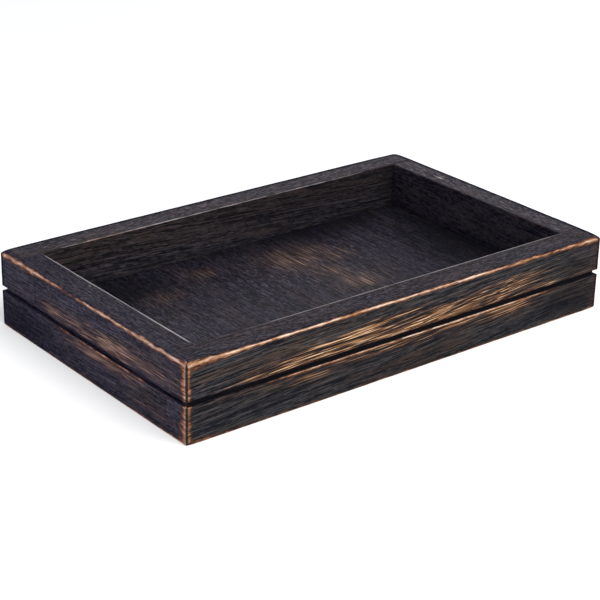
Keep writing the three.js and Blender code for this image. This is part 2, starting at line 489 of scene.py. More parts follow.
# Weight of each part of the stain where the grain is lively, and what quiet grain adds to it
CALM_WEIGHTS = {
    "tone": (1.0, -0.4),
    "cloud": (0.05, 0.05),
    "speck": (0.3, 0.7),
    "hue": (1.0, -0.5),
    "pores": (0.8, -0.65),
    "ragged": (1.0, 0.6),
}
TONE_WEIGHTS = {"broad": 0.1, "lines": 0.16, "fine": 0.46, "streak": 0.28}
GRAIN_DRIFT = 5 * MM
PORES_IN_BANDS = 0.3
PORES_IN_SAND = 0.1
WARM_SHARE = 0.7
# Sanded patches: how well the ground covers hard grain and what open grain adds, each with its change for a
# streaky oak, and how much each noise lifts the streaks
HARD_GRAIN_COVER = (0.7, -0.6)
OPEN_GRAIN_COVER = (0.15, 0.5)
LIFT_WEIGHTS = {"streak": 0.9, "fine": 3.2}
PORE_TONE = "0e0b0c"
# Painted highlight along the inner top edges and on the pale scuffs: its colour and how ragged its border is
GLINT_TONE = "b7aeb2"
GLINT_RAGGED = 0.8
# How far the shade field darkens the colour towards the darkest tone: painted shade, dark seams and darker
# lines
SHADE_COVER = 0.93
# Surface of the oak: relief of its grain, and roughness of the stain with what pores, bare wood and shade add
PORE_RELIEF = -0.5
OAK_BUMP = 0.5
OAK_BUMP_HEIGHT = 0.25 * MM
OAK_ROUGHNESS = 0.4
PORE_ROUGHNESS = 0.2
WORN_ROUGHNESS = 0.15
SHADE_ROUGHNESS = 0.5

# Beech of the dowels, which lie along Y
BEECH_STREAK = (0.6 * MM, 9 * MM, 0.6 * MM)
BEECH_DETAIL = 3.0
BEECH_TONES = ("b98a58", "d2aa78")
BEECH_RAMP = (0.3, 0.7)
BEECH_BUMP = 0.3
BEECH_BUMP_HEIGHT = 0.1 * MM
BEECH_ROUGHNESS = 0.6
STREAK_ROUGHNESS = 0.2

# Numbers of the hash behind the seeded noise
HASH_AXES = (374761393, 668265263, 2147483629)
HASH_SEED = 974634777
HASH_ROUNDS = ((13, 1274126177), (16, 2246822519))
HASH_LAST_SHIFT = 15
HASH_WORD = 0xFFFFFFFF
HASH_RESULT = 0xFFFF


def srgb(code):
    """Linear colour of a six-digit hexadecimal code."""
    channels = [int(code[i:i + 2], 16) / 255 for i in (0, 2, 4)]
    linear = [c / 12.92 if c <= 0.04045 else ((c + 0.055) / 1.055) ** 2.4 for c in channels]
    return (*linear, 1.0)


def ease(x):
    """Smooth step from 0 to 1."""
    x = np.clip(x, 0, 1)
    return x * x * (3 - 2 * x)


# Seeded noise on arrays of points

def lattice(cells, seed):
    """One number from -1 to 1 for each whole-numbered cell, the same on every run."""
    places = [cells[..., i].astype(np.int64) * step for i, step in enumerate(HASH_AXES)]
    word = (sum(places) + seed * HASH_SEED) & HASH_WORD
    for shift, factor in HASH_ROUNDS:
        word = ((word ^ (word >> shift)) * factor) & HASH_WORD
    return ((word ^ (word >> HASH_LAST_SHIFT)) & HASH_RESULT) / (HASH_RESULT / 2) - 1


def smooth_noise(points, wavelength, seed):
    """Noise from -1 to 1 that changes over the given length, or three lengths, in metres."""
    scaled = points / np.asarray(wavelength, float)
    cell = np.floor(scaled)
    part = ease(scaled - cell)
    total = 0.0
    for corner in np.ndindex(2, 2, 2):
        weight = np.prod(np.where(corner, part, 1 - part), axis=-1)
        total = total + weight * lattice(cell + corner, seed)
    return total


def rough_noise(points, wavelength, seed, octaves=3):
    """Smooth noise with finer noise on top."""
    wave = np.asarray(wavelength, float)
    layers = [smooth_noise(points, wave / 2 ** k, seed + k) / 2 ** k for k in range(octaves)]
    return sum(layers) / sum(1 / 2 ** k for k in range(octaves))


def along(u, lane):
    """Points on a line, for noise that only changes along a board."""
    return np.stack([u, np.full_like(u, lane), np.zeros_like(u)], -1)


# Section of a rail

def straight(start, end, steps):
    """Points of a straight stretch of the section, without its last one."""
    return [tuple(a + (b - a) * k / steps for a, b in zip(start, end)) for k in range(steps)]


def rounded(centre, radius, start, end, steps):
    """Points of a rounded edge of the section, without its last one. Angles in degrees."""
    angles = np.radians(np.linspace(start, end, steps, endpoint=False))
    return [(centre[0] + radius * np.cos(a), centre[1] + radius * np.sin(a)) for a in angles]


def rail_section(radius, lip):
    """Ring of (v, w) points from the underside up the outer face, over the top and down the inner face.

    radius gives each edge's radius at every station. Returns the ring, the number of its points up to the
    depth of the lip at the top, and where along the ring the rubbing of each edge is centred.
    """
    top, depth = TRAY_HEIGHT, RAIL_THICKNESS
    outer_top, inner_top = radius["outer_top"], radius["inner_top"]
    outer_foot, inner_foot = radius["outer_bottom"], radius["inner_bottom"]
    low, high = radius["groove_lower"], radius["groove_upper"]
    dado = depth - DADO_DEPTH
    ring, middle = [], {}

    def flat(name, start, end):
        ring.extend(straight(start, end, FLAT_STEPS[name]))

    def edge(name, centre, start, end):
        steps = EDGE_STEPS[name]
        middle[name] = len(ring) + round(steps * RUB_PLACE.get(name, USUAL_RUB_PLACE))
        ring.extend(rounded(centre, radius[name], start, end, steps))

    flat("lip_foot", (lip, 0), (outer_foot, 0))
    edge("outer_bottom", (outer_foot, outer_foot), 270, 180)
    flat("outer_face", (0, outer_foot), (0, GROOVE_BOTTOM - low))
    edge("groove_lower", (low, GROOVE_BOTTOM - low), 180, 90)
    flat("groove", (low, GROOVE_BOTTOM), (GROOVE_DEPTH, GROOVE_BOTTOM))
    flat("groove", (GROOVE_DEPTH, GROOVE_BOTTOM), (GROOVE_DEPTH, GROOVE_TOP))
    flat("groove", (GROOVE_DEPTH, GROOVE_TOP), (high, GROOVE_TOP))
    edge("groove_upper", (high, GROOVE_TOP + high), 270, 180)
    flat("outer_face", (0, GROOVE_TOP + high), (0, top - outer_top))
    edge("outer_top", (outer_top, top - outer_top), 180, 90)
    flat("lip_top", (outer_top, top), (lip, top))
    lip_points = len(ring) + 1
    flat("rim", (lip, top), (depth - inner_top, top))
    edge("inner_top", (depth - inner_top, top - inner_top), 90, 0)
    flat("well", (depth, top - inner_top), (depth, DADO_TOP))
    flat("dado_side", (depth, DADO_TOP), (dado, DADO_TOP))
    flat("dado_end", (dado, DADO_TOP), (dado, DADO_BOTTOM))
    flat("dado_side", (dado, DADO_BOTTOM), (depth, DADO_BOTTOM))
    flat("below_dado", (depth, DADO_BOTTOM), (depth, inner_foot))
    edge("inner_bottom", (depth - inner_foot, inner_foot), 0, -90)
    flat("underside", (depth - inner_foot, 0), (lip, 0))
    middle["inner_glint"] = middle["inner_top"]
    return ring, lip_points, middle


class Rail:
    """A board of the frame, in its own coordinates, with worn edges and a mitred lip at each end."""

    def __init__(self, half_length, butt, lip, seed):
        self.half, self.butt, self.seed = half_length, butt, seed
        body = np.linspace(-butt, butt, 2 * round(butt / STATION_STEP) + 1)
        ends = butt + (half_length - butt) * np.array(LIP_SHARES)
        self.station_u = np.concatenate([-ends[::-1], body, ends])
        self.first = len(ends)
        self.last = self.first + len(body) - 1
        self.place_rings(lip)
        self.mitre_ends()
        self.dip_faces()
        self.round_corners()

    def place_rings(self, lip):
        """Places the section at every station, with radii that vary along the board."""
        u = self.station_u
        swell = np.exp(-np.maximum(self.half - np.abs(u), 0) / CORNER_SWELL_REACH)
        radius = {}
        for lane, (name, (mean, swing)) in enumerate(EDGE_RADII.items()):
            line = along(u, lane)
            wave = rough_noise(line, EDGE_WAVE, self.seed + lane)
            chips = rough_noise(line, CHIP_LENGTH, self.seed + CHIP_SEED + lane, COARSE_OCTAVES)
            chips = np.maximum(chips - CHIP_LEVEL, 0)
            radius[name] = mean + swing * (wave + CHIP_WEIGHT * chips)
        for name, more in CORNER_SWELL.items():
            radius[name] = radius[name] + more * swell
        ring, self.lip_points, self.middle = rail_section(radius, lip)
        self.v = np.stack([np.broadcast_to(p[0], u.shape) for p in ring], 1).copy()
        self.w = np.stack([np.broadcast_to(p[1], u.shape) for p in ring], 1).copy()
        self.u = np.repeat(u[:, None], len(ring), 1)
        section = np.stack([self.v.mean(0), self.w.mean(0)], -1)
        steps = np.linalg.norm(np.roll(section, -1, 0) - section, axis=1)
        self.arc = np.concatenate([[0], np.cumsum(steps)])

    def mitre_ends(self):
        """Slides the points of the lips along u, so that each lip ends on its mitre."""
        reach = self.half - self.v - MITRE_SEAM
        for k, share in enumerate(LIP_SHARES):
            for row, side in ((self.last + 1 + k, 1), (self.first - 1 - k, -1)):
                self.u[row] = side * (self.butt + share * np.maximum(reach[row] - self.butt, 0))

    def dip_faces(self):
        """Lets the flat faces dip a little, as hand-finished boards do."""
        wave = rough_noise(self.grid(), DIP_LENGTHS, self.seed + DIP_SEED)
        dip = FACE_DIP * (0.5 + 0.5 * wave)
        outer = self.v < FLAT_TOLERANCE
        inner = self.v > RAIL_THICKNESS - FLAT_TOLERANCE
        top = self.w > TRAY_HEIGHT - FLAT_TOLERANCE
        self.v = self.v + dip * outer - dip * inner
        self.w = self.w - dip * top

    def round_corners(self):
        """Eases the upright corner edge of each lip, more in some places than in others."""
        spot = np.stack([np.sign(self.u) * self.half, self.v * 0, self.w], -1)
        wave = rough_noise(spot, CORNER_WAVE, self.seed + CORNER_SEED)
        radius = CORNER_RADIUS + CORNER_RADIUS_SWING * wave
        past_u = np.abs(self.u) - (self.half - radius)
        past_v = radius - self.v
        reach = np.hypot(past_u, past_v)
        outside = (past_u > 0) & (past_v > 0) & (reach > radius)
        pull = radius / np.where(outside, reach, radius)
        self.u = np.where(outside, np.sign(self.u) * (self.half - radius + past_u * pull), self.u)
        self.v = np.where(outside, radius - past_v * pull, self.v)

    def grid(self):
        """Every point of the board, station by station."""
        return np.stack([self.u, self.v, self.w], -1)

    def edge_rub(self, marks, names):
        """How much each point is rubbed by the named edges near it, from 0 to a little over 1."""
        rub = np.zeros_like(self.u)
        place = self.station_u / MM
        for lane, name in enumerate(names):
            before, after = RUB_REACH[name]
            places, values, widths = zip(*marks[name])
            gap = self.arc[:-1] - self.arc[self.middle[name]]
            share = np.abs(gap) / np.where(gap < 0, before, after)
            wave = rough_noise(along(self.station_u, lane), RUB_WAVE, self.seed + RUB_SEED + lane)
            strength = np.interp(place, places, values) * (1 + RUB_SWING * wave)
            line, seed = along(self.station_u, lane + RUB_WIDTH_LANE), self.seed + RUB_WIDTH_SEED + lane
            wave = rough_noise(line, RUB_WIDTH_WAVE, seed, COARSE_OCTAVES)
            width = np.interp(place, places, widths) * (1 + RUB_WIDTH_SWING * wave)
            fall = np.clip(1 - share[None, :] / width[:, None], 0, 1)
            rub = np.maximum(rub, fall * strength[:, None])
        return rub

    def corner_gap(self, marks):
        """Strength at the nearer upright corner edge, and the way to it as a share of that edge's reach."""
        strengths, reaches = zip(*marks)
        low_end = self.u < 0
        gap = np.maximum(self.half - CORNER_TIP - np.abs(self.u), 0) / MM
        strength = np.where(low_end, *strengths) * (self.v < CORNER_DEPTH)
        return strength, gap / np.where(low_end, *reaches)

    def corner_rub(self, marks):
        """How much each point is rubbed by the upright corner edges."""
        strength, gap = self.corner_gap(marks)
        return strength * np.clip(1 - gap, 0, 1)

    def corner_line(self, marks):
        """Dark line along the upright corner edges."""
        strength, gap = self.corner_gap(marks)
        return strength * np.exp(-gap ** CORNER_LINE_POWER)

    def patches(self, spots):
        """Soft spots on the outer face: u, w, half length, half height (millimetres), slope and strength."""
        total = np.zeros_like(self.u)
        for u, w, length, height, slope, strength in spots:
            along_u = self.u - u * MM
            across = self.w - w * MM - slope * along_u
            spot = np.exp(-(along_u / (length * MM)) ** 2 - (across / (height * MM)) ** 2)
            total = np.maximum(total, strength * spot)
        return total * np.exp(-(self.v / PATCH_FADE) ** 2)

    def rim_spots(self, spots):
        """Soft spots on the rim: u, v, half length, half depth (millimetres) and strength."""
        total = np.zeros_like(self.u)
        for u, v, length, depth, strength in spots:
            along_u, across = self.u - u * MM, self.v - v * MM
            spot = np.exp(-(along_u / (length * MM)) ** 2 - (across / (depth * MM)) ** 2)
            total = np.maximum(total, strength * spot)
        return total * self.rim()

    def every_station(self, values):
        """Values along the ring of the section, the same at every station."""
        return np.repeat(values[None, :], len(self.u), 0)

    def rim(self):
        """1 on the top face between its two rounded edges, 0 elsewhere."""
        start, end = self.arc[self.middle["outer_top"]], self.arc[self.middle["inner_top"]]
        inside = np.minimum(self.arc[:-1] - start, end - self.arc[:-1])
        return self.every_station(ease(inside / RIM_FADE))

    def rim_line(self):
        """1 along a narrow line of the top face beside its outer rounded edge, fading to both sides."""
        gap = self.arc[:-1] - self.arc[self.middle["outer_top"]] - RIM_LINE_PLACE
        return self.every_station(np.exp(-(gap / RIM_LINE_REACH) ** 2))

    def outer_face(self):
        """1 on the outer face, 0 elsewhere."""
        return (self.v < OUTER_FACE_DEPTH).astype(float)

    def inner_face(self):
        """1 on the face towards the well, 0 elsewhere."""
        return (self.v > RAIL_THICKNESS - WELL_FACE_DEPTH).astype(float)

    def upper_well(self):
        """1 along the top of the face towards the well, fading towards its foot."""
        return self.inner_face() * ease((self.w - DADO_TOP) / (TRAY_HEIGHT - DADO_TOP))

    def shade(self, wear_and_shade):
        """How dark the colour is made, from 0 to 1: painted shade in the groove, below it and on the faces
        towards the well, dark seams, and darker lines and spots.
        """
        level = np.abs(self.w - TRAY_HEIGHT / 2) < GROOVE_HEIGHT / 2 + GROOVE_SLACK
        in_groove = level & (self.v < GROOVE_DEPTH + GROOVE_SLACK)
        foot = WELL_FOOT_SHADE * (1 - ease((self.w - DADO_TOP) / WELL_FOOT_REACH))
        shade = np.maximum.reduce([
            wear_and_shade.groove * ease((self.v - GROOVE_SHADE_START) / GROOVE_SHADE_REACH) * in_groove,
            wear_and_shade.lower * self.outer_face() * ease((GROOVE_BOTTOM - self.w) / LOWER_SHADE_REACH),
            np.maximum(foot, np.interp(self.u / MM, *zip(*wear_and_shade.well))) * self.inner_face(),
            wear_and_shade.line * self.rim_line(),
            self.corner_line(wear_and_shade.corner_lines),
            self.patches(wear_and_shade.shade),
            self.rim_spots(wear_and_shade.rim),
        ])
        ends = [0, -1]
        shade[ends] = np.maximum(shade[ends], SEAM_SHADE)
        return shade


# Meshes

def inset(share):
    """Place in a cell of the unrolled map, clear of the cell's borders."""
    return MAP_MARGIN + (1 - 2 * MAP_MARGIN) * share


def quad_places(left, right, low, high):
    """Unrolled places of a face's four corners."""
    return [(left, low), (left, high), (right, high), (right, low)]


def rail_faces(rail):
    """Faces of a rail over its grid of points, numbered row by row, and the unrolled place of each corner."""
    rows, count = rail.u.shape
    lip = rail.lip_points
    across = rail.arc / rail.arc[-1] * RING_SHARE
    up = (rail.station_u / rail.half + 1) / 2
    faces, places = [], []
    for row in range(rows - 1):
        here, there = row * count, (row + 1) * count
        whole = rail.first <= row < rail.last
        for j in range(count if whole else lip - 1):
            k = (j + 1) % count
            faces.append([here + j, there + j, there + k, here + k])
            places.append(quad_places(across[j], across[j + 1], up[row], up[row + 1]))
        if not whole:
            faces.append([here + lip - 1, there + lip - 1, there, here])
            cell, start = (0, 0) if row < rail.first else (1, rail.last)
            low, high = ((cell + inset((r - start) / rail.first)) / 2 for r in (row, row + 1))
            places.append(quad_places(*LIP_BACK_STRIP, low, high))
    body, tip = [*range(lip - 1, count), 0], [*range(lip)]
    ends = [(rail.first, body), (rail.last, body[::-1]), (0, tip), (rows - 1, tip[::-1])]
    left, right = END_STRIP
    for cell, (row, turns) in enumerate(ends):
        faces.append([row * count + j for j in turns])
        sides = left + (right - left) * rail.v[row, turns] / RAIL_THICKNESS
        heights = (cell + inset(rail.w[row, turns] / TRAY_HEIGHT)) / len(ends)
        places.append(list(zip(sides, heights)))
    return faces, places


def link(thing):
    """Puts an object into the scene."""
    bpy.context.scene.collection.objects.link(thing)


def mesh_object(name, points, faces, places, fields):
    """A closed mesh object with an unrolled map, and one value or vector for each point in every field."""
    mesh = bpy.data.meshes.new(name)
    mesh.from_pydata(points, [], faces)
    unrolled = mesh.uv_layers.new(name="OFBake")
    unrolled.data.foreach_set("uv", np.concatenate([np.ravel(p) for p in places]).astype(np.float32))
    for field, values in fields.items():
        kind, key = ("FLOAT_VECTOR", "vector") if values.ndim == 2 else ("FLOAT", "value")
        layer = mesh.attributes.new(field, kind, "POINT")
        layer.data.foreach_set(key, np.ascontiguousarray(values, np.float32).ravel())
    work = bmesh.new()
    work.from_mesh(mesh)
    bmesh.ops.remove_doubles(work, verts=work.verts, dist=MERGE_DISTANCE)
    bmesh.ops.delete(work, geom=[v for v in work.verts if not v.link_faces], context="VERTS")
    for face in work.faces:
        face.smooth = True
    for edge in work.edges:
        edge.smooth = edge.is_manifold and edge.calc_face_angle() < SHARP_ANGLE
    work.to_mesh(mesh)
    work.free()
    piece = bpy.data.objects.new(name, mesh)
    link(piece)
    return piece


def stand_for(piece, node, material):
    """Lets a piece stand for a CAD node."""
    piece.data.materials.append(material)
    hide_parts(node)
    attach(piece, "root")


def rail_fields(rail, board, wear_and_shade):
    """Grain, wear, painted highlight and painted shade at every point of a rail, for its material."""
    rim, well, outer, calm = rail.rim(), rail.inner_face(), rail.outer_face(), board.calm
    local = rail.grid().reshape(-1, 3)
    grain = local + np.array(GRAIN_PLACE) * board.seed
    grain[:, 2] -= board.slope * local[:, 0]
    grain[:, 0] *= 1 - (1 - WELL_GRAIN_SHARE) * well.ravel()
    bare = [name for name in wear_and_shade.edges if name != "inner_glint"]
    # inner_glint is no rubbing but a painted highlight along the inner top edge; it goes into glint with the
    # scuffs
    light = [name for name in wear_and_shade.edges if name == "inner_glint"]
    scuffs = rail.rim_spots(wear_and_shade.scuffs)
    flecks = RAIL_FLECKS + WELL_FLECKS * (1 - calm) * well + CALM_FLECKS * calm
    warm_well = np.maximum(WELL_WARM * rail.upper_well(), calm * well)
    fields = {
        "rub": np.maximum(rail.edge_rub(wear_and_shade.edges, bare), rail.corner_rub(wear_and_shade.corners)),
        "glint": np.maximum(rail.edge_rub(wear_and_shade.edges, light), scuffs),
        "sand": rail.patches(wear_and_shade.sand),
        "shade": rail.shade(wear_and_shade),
        "calm": np.maximum.reduce([rim, max(WELL_CALM, calm) * well, calm * outer]),
        "warm": np.maximum.reduce([warm_well, calm * rim, rail.patches(wear_and_shade.tint)]),
        "fleck": flecks + wear_and_shade.pale * rim + SCUFF_FLECKS * scuffs,
    }
    return {"grain": grain, **{name: values.ravel() for name, values in fields.items()}}


def build_rail(name, board, wear_and_shade, material):
    """A worn rail that stands for its CAD node."""
    half = (TRAY_LENGTH if board.through else TRAY_WIDTH) / 2
    if board.through:
        butt = half - LIP_THICKNESS - HALF_SEAM
        lip = LIP_THICKNESS + HALF_SEAM - MITRE_SEAM
    else:
        butt = half - RAIL_THICKNESS - HALF_SEAM
        lip = LIP_THICKNESS - HALF_SEAM
    rail = Rail(half, butt, lip, board.seed)
    turn = np.array(Matrix.Rotation(math.radians(board.turn), 3, "Z"))
    points = rail.grid().reshape(-1, 3) @ turn.T + np.array(board.place)
    fields = rail_fields(rail, board, wear_and_shade)
    piece = mesh_object(name + "_worn", points.tolist(), *rail_faces(rail), fields)
    stand_for(piece, name, material)


def floor_spots(points, spots):
    """Soft spots on the floor: x, y, half lengths in x and in y (millimetres) and strength."""
    total = np.zeros(len(points))
    for x, y, half_x, half_y, strength in spots:
        spot = np.exp(-((points[:, 0] / MM - x) / half_x) ** 2 - ((points[:, 1] / MM - y) / half_y) ** 2)
        total = np.maximum(total, strength * spot)
    return total


def panel_faces(across, deep, share):
    """Faces of the panel over its upper and lower grids of points, and the unrolled place of each corner.

    across and deep are the numbers of faces along X and Y, and share is where on the panel each point lies.
    """
    def strip_places(strip, corners):
        start, end = strip
        return [(share[k, 0], start + (end - start) * share[k, 1]) for k in corners]

    columns, layer = across + 1, len(share)
    faces, places = [], []
    for row, column in np.ndindex(deep, across):
        a = row * columns + column
        quad = [a, a + 1, a + 1 + columns, a + columns]
        faces.append(quad)
        places.append(strip_places(PANEL_TOP_STRIP, quad))
        faces.append([layer + k for k in reversed(quad)])
        places.append(strip_places(PANEL_FOOT_STRIP, reversed(quad)))
    border = [*range(columns - 1), *(r * columns + columns - 1 for r in range(deep))]
    border += [deep * columns + c for c in range(columns - 1, 0, -1)]
    border += [r * columns for r in range(deep, 0, -1)]
    low, high = PANEL_BORDER_STRIP
    for k, (a, b) in enumerate(zip(border, border[1:] + border[:1])):
        start, end = k / len(border), (k + 1) / len(border)
        faces.append([b, a, layer + a, layer + b])
        places.append([(end, low), (start, low), (start, high), (end, high)])
    return faces, places


def panel_fields(points):
    """Grain, wear and painted shade at every point of the panel, for its material."""
    inner = np.array([TRAY_LENGTH, TRAY_WIDTH]) / 2 - RAIL_THICKNESS
    gap = np.clip(inner - np.abs(points[:, :2]), 0, None).min(1)
    # painted shade beside the rails and in the darker spots
    edge_shade = FLOOR_EDGE_SHADE * np.exp(-gap / FLOOR_SHADE_REACH)
    upper = points[:, 2] > (PANEL_LOW.z + PANEL_HIGH.z) / 2
    plain = np.zeros(len(points))
    return {
        "grain": points[:, [1, 2, 0]] + np.array(PANEL_GRAIN_PLACE),
        "sand": floor_spots(points, FLOOR_PATCHES) * upper,
        "shade": np.maximum(edge_shade, floor_spots(points, FLOOR_SHADES)),
        "calm": plain + 1,
        "fleck": FLOOR_FLECK + floor_spots(points, FLOOR_FLECKS),
        **{name: plain for name in ("rub", "glint", "warm")},
    }


def build_panel(material):
    """The floor panel, a board with its grain along Y and a slightly uneven face."""
    low, high = np.array(PANEL_LOW), np.array(PANEL_HIGH)
    across, deep = (max(2, round(side / PANEL_STEP)) for side in (high - low)[:2])
    x, y = np.meshgrid(np.linspace(low[0], high[0], across + 1), np.linspace(low[1], high[1], deep + 1))
    flat = np.stack([x, y, np.zeros_like(x)], -1)
    dip = PANEL_DIP * (0.5 + 0.5 * rough_noise(flat, PANEL_DIP_LENGTHS, PANEL_SEED))
    top = np.stack([x, y, high[2] - dip], -1).reshape(-1, 3)
    foot = np.stack([x, y, np.full_like(x, low[2])], -1).reshape(-1, 3)
    points = np.concatenate([top, foot])
    share = ((top - low) / (high - low))[:, :2]
    faces, places = panel_faces(across, deep, share)
    piece = mesh_object("floor_panel_worn", points.tolist(), faces, places, panel_fields(points))
    stand_for(piece, "floor_panel", material)


# Materials

class Nodes:
    """Short calls that add shader nodes to a material and join them."""

    def __init__(self, material):
        material.use_nodes = True
        self.tree = material.node_tree
        self.tree.nodes.clear()

    def add(self, kind, inputs=(), **settings):
        """Adds a node, sets it up and joins its inputs, given by name or number."""
        node = self.tree.nodes.new(kind)
        for key, value in settings.items():
            setattr(node, key, value)
        for key, value in dict(inputs).items():
            self.join(value, node.inputs[key])
        return node

    def join(self, value, socket):
        if isinstance(value, bpy.types.NodeSocket):
            self.tree.links.new(value, socket)
        else:
            socket.default_value = value

    def math(self, operation, *values):
        return self.add("ShaderNodeMath", enumerate(values), operation=operation).outputs[0]

    def product(self, first, second):
        return self.math("MULTIPLY", first, second)

    def weighted(self, value, weight, rest):
        """value times weight, plus rest."""
        return self.math("MULTIPLY_ADD", value, weight, rest)

    def centred(self, noise):
        """A noise about zero."""
        return self.math("SUBTRACT", noise, 0.5)

    def field(self, name, vector=False):
        node = self.add("ShaderNodeAttribute", attribute_name=name)
        return node.outputs["Vector" if vector else "Fac"]

    def stretch(self, vector, scale):
        return self.add("ShaderNodeVectorMath", {0: vector, 1: scale}, operation="MULTIPLY").outputs[0]

    def shift(self, vector, offset):
        return self.add("ShaderNodeVectorMath", {0: vector, 1: offset}, operation="ADD").outputs[0]

    def noise(self, place, lengths, detail, roughness=0.5):
        """A noise with features of these lengths along the three axes."""
        scaled = self.stretch(place, tuple(1 / length for length in lengths))
        inputs = {"Vector": scaled, "Scale": 1.0, "Detail": detail, "Roughness": roughness}
        return self.add("ShaderNodeTexNoise", inputs)

    def step(self, value, low, high):
        """Smooth step from 0 at low to 1 at high."""
        inputs = {"Value": value, "From Min": low, "From Max": high}
        return self.add("ShaderNodeMapRange", inputs, interpolation_type="SMOOTHSTEP").outputs[0]

    def mix(self, factor, first, second):
        return self.add("ShaderNodeMix", {0: factor, 6: first, 7: second}, data_type="RGBA").outputs[2]

    def bump(self, strength, distance, height):
        inputs = {"Strength": strength, "Distance": distance, "Height": height}
        return self.add("ShaderNodeBump", inputs).outputs[0]

    def position(self):
        return self.add("ShaderNodeNewGeometry").outputs["Position"]

    def surface(self, inputs):
        """Surface of the material, from the inputs of its shader."""
        shader = self.add("ShaderNodeBsdfPrincipled", inputs)
        self.add("ShaderNodeOutputMaterial", {"Surface": shader.outputs[0]})


class OakNodes(Nodes):
    """Nodes of a worn oak whose grain runs along u."""

    def __init__(self, material, oak):
        super().__init__(material)
        self.oak = oak
        self.calm, self.sand, self.shade = map(self.field, ("calm", "sand", "shade"))
        self.board = self.field("grain", vector=True)
        drift = self.shift(self.oak_noise("drift", self.board).outputs["Color"], (-0.5, -0.5, -0.5))
        self.grain = self.shift(self.board, self.stretch(drift, (0.0, GRAIN_DRIFT, GRAIN_DRIFT)))
        self.noises = {name: self.grain_noise(name) for name in TONE_WEIGHTS}
        self.ragged = self.centred(self.oak_noise("ragged", self.board).outputs["Fac"])

    def oak_noise(self, name, place):
        length, width, detail, roughness = OAK_NOISES[name]
        length = length * (self.oak.length if name in SCALED_LENGTHS else 1) * MM
        width = width * (self.oak.width if name in SCALED_WIDTHS else 1) * MM
        return self.noise(place, (length, width, width), detail, roughness)

    def grain_noise(self, name):
        """One of the oak's noises along its wandering grain."""
        return self.oak_noise(name, self.grain).outputs["Fac"]

    def ramp(self, name, value):
        return self.step(value, *OAK_RAMPS[name])

    def calm_weight(self, name):
        """Weight of a part of the stain, by how quiet the grain is."""
        lively, change = CALM_WEIGHTS[name]
        return self.weighted(self.calm, change, lively)

    def pores(self):
        """Open pores, more of them in broad bands and in sanded patches."""
        level = self.weighted(self.noises["broad"], PORES_IN_BANDS, self.grain_noise("pores"))
        return self.ramp("pores", self.weighted(self.sand, PORES_IN_SAND, level))

    def tone(self):
        """How light the stain is, about zero."""
        tone = 0.0
        for name, weight in TONE_WEIGHTS.items():
            tone = self.weighted(self.noises[name], weight, tone)
        tone = self.product(self.centred(tone), self.calm_weight("tone"))
        cloud = self.centred(self.grain_noise("cloud"))
        tone = self.weighted(cloud, self.calm_weight("cloud"), tone)
        speck = self.product(self.centred(self.grain_noise("speck")), self.calm_weight("speck"))
        return self.weighted(speck, self.oak.speckle, tone)

    def stained(self, tone, open_grain):
        """Stain: near black along the hard streaks, slate to brown along the open ones."""
        dark, middle, light = map(srgb, self.oak.tones)
        calm_middle, calm_light = map(srgb, self.oak.calm_tones)
        base = self.mix(self.ramp("middle_tone", tone), dark, self.mix(self.calm, middle, calm_middle))
        base = self.mix(self.ramp("light_tone", tone), base, self.mix(self.calm, light, calm_light))
        hue = self.product(self.ramp("hue", self.grain_noise("hue")), self.calm_weight("hue"))
        hue = self.math("MAXIMUM", hue, self.field("warm"))
        warm = self.product(hue, self.product(open_grain, WARM_SHARE))
        return self.mix(warm, base, srgb(self.oak.warm_tone))

    def flecked(self, base):
        """Short pale flecks, where the stain didn't take."""
        flecks = self.product(self.ramp("flecks", self.grain_noise("flecks")), self.field("fleck"))
        return self.mix(flecks, base, srgb(self.oak.fleck_tone))

    def sanded(self, base, open_grain):
        """Sanded patches: a brown ground, golden along the raised streaks."""
        ground, streaks, brightest = map(srgb, self.oak.sanded)
        covers = (HARD_GRAIN_COVER, OPEN_GRAIN_COVER)
        hard, more = (plain + change * self.oak.streaky for plain, change in covers)
        cover = self.product(self.ramp("sanded_ground", self.sand), self.weighted(open_grain, more, hard))
        base = self.mix(cover, base, ground)
        lift = self.sand
        for name, weight in LIFT_WEIGHTS.items():
            lift = self.weighted(self.centred(self.noises[name]), weight * self.oak.streaky, lift)
        golden = self.mix(self.ramp("brightest", lift), streaks, brightest)
        raised = self.product(self.ramp("raised", lift), self.ramp("sanded_streaks", self.sand))
        return self.mix(raised, base, golden)

    def ragged_rub(self):
        """How much an edge is rubbed, with a ragged border."""
        rub = self.field("rub")
        near = self.product(self.ramp("near_edge", rub), self.calm_weight("ragged"))
        return self.weighted(self.ragged, near, rub)

    def rubbed(self, base, rub):
        """Rubbed edges: brown, then orange, then pale bare wood; the pale core is partly a painted highlight
        on the rounded edges.
        """
        for name, tone in zip(("border", "worn", "core"), self.oak.bare):
            base = self.mix(self.ramp(name, rub), base, srgb(tone))
        return base

    def marked(self, base, pores):
        """Pores, the painted highlight along inner top edges with pale scuffs, and the shade darkening over
        them all: painted shade, dark seams and darker lines.
        """
        base = self.mix(self.product(pores, self.calm_weight("pores")), base, srgb(PORE_TONE))
        glint = self.weighted(self.ragged, GLINT_RAGGED, self.field("glint"))
        base = self.mix(self.ramp("glint", glint), base, srgb(GLINT_TONE))
        return self.mix(self.product(self.shade, SHADE_COVER), base, srgb(self.oak.tones[0]))


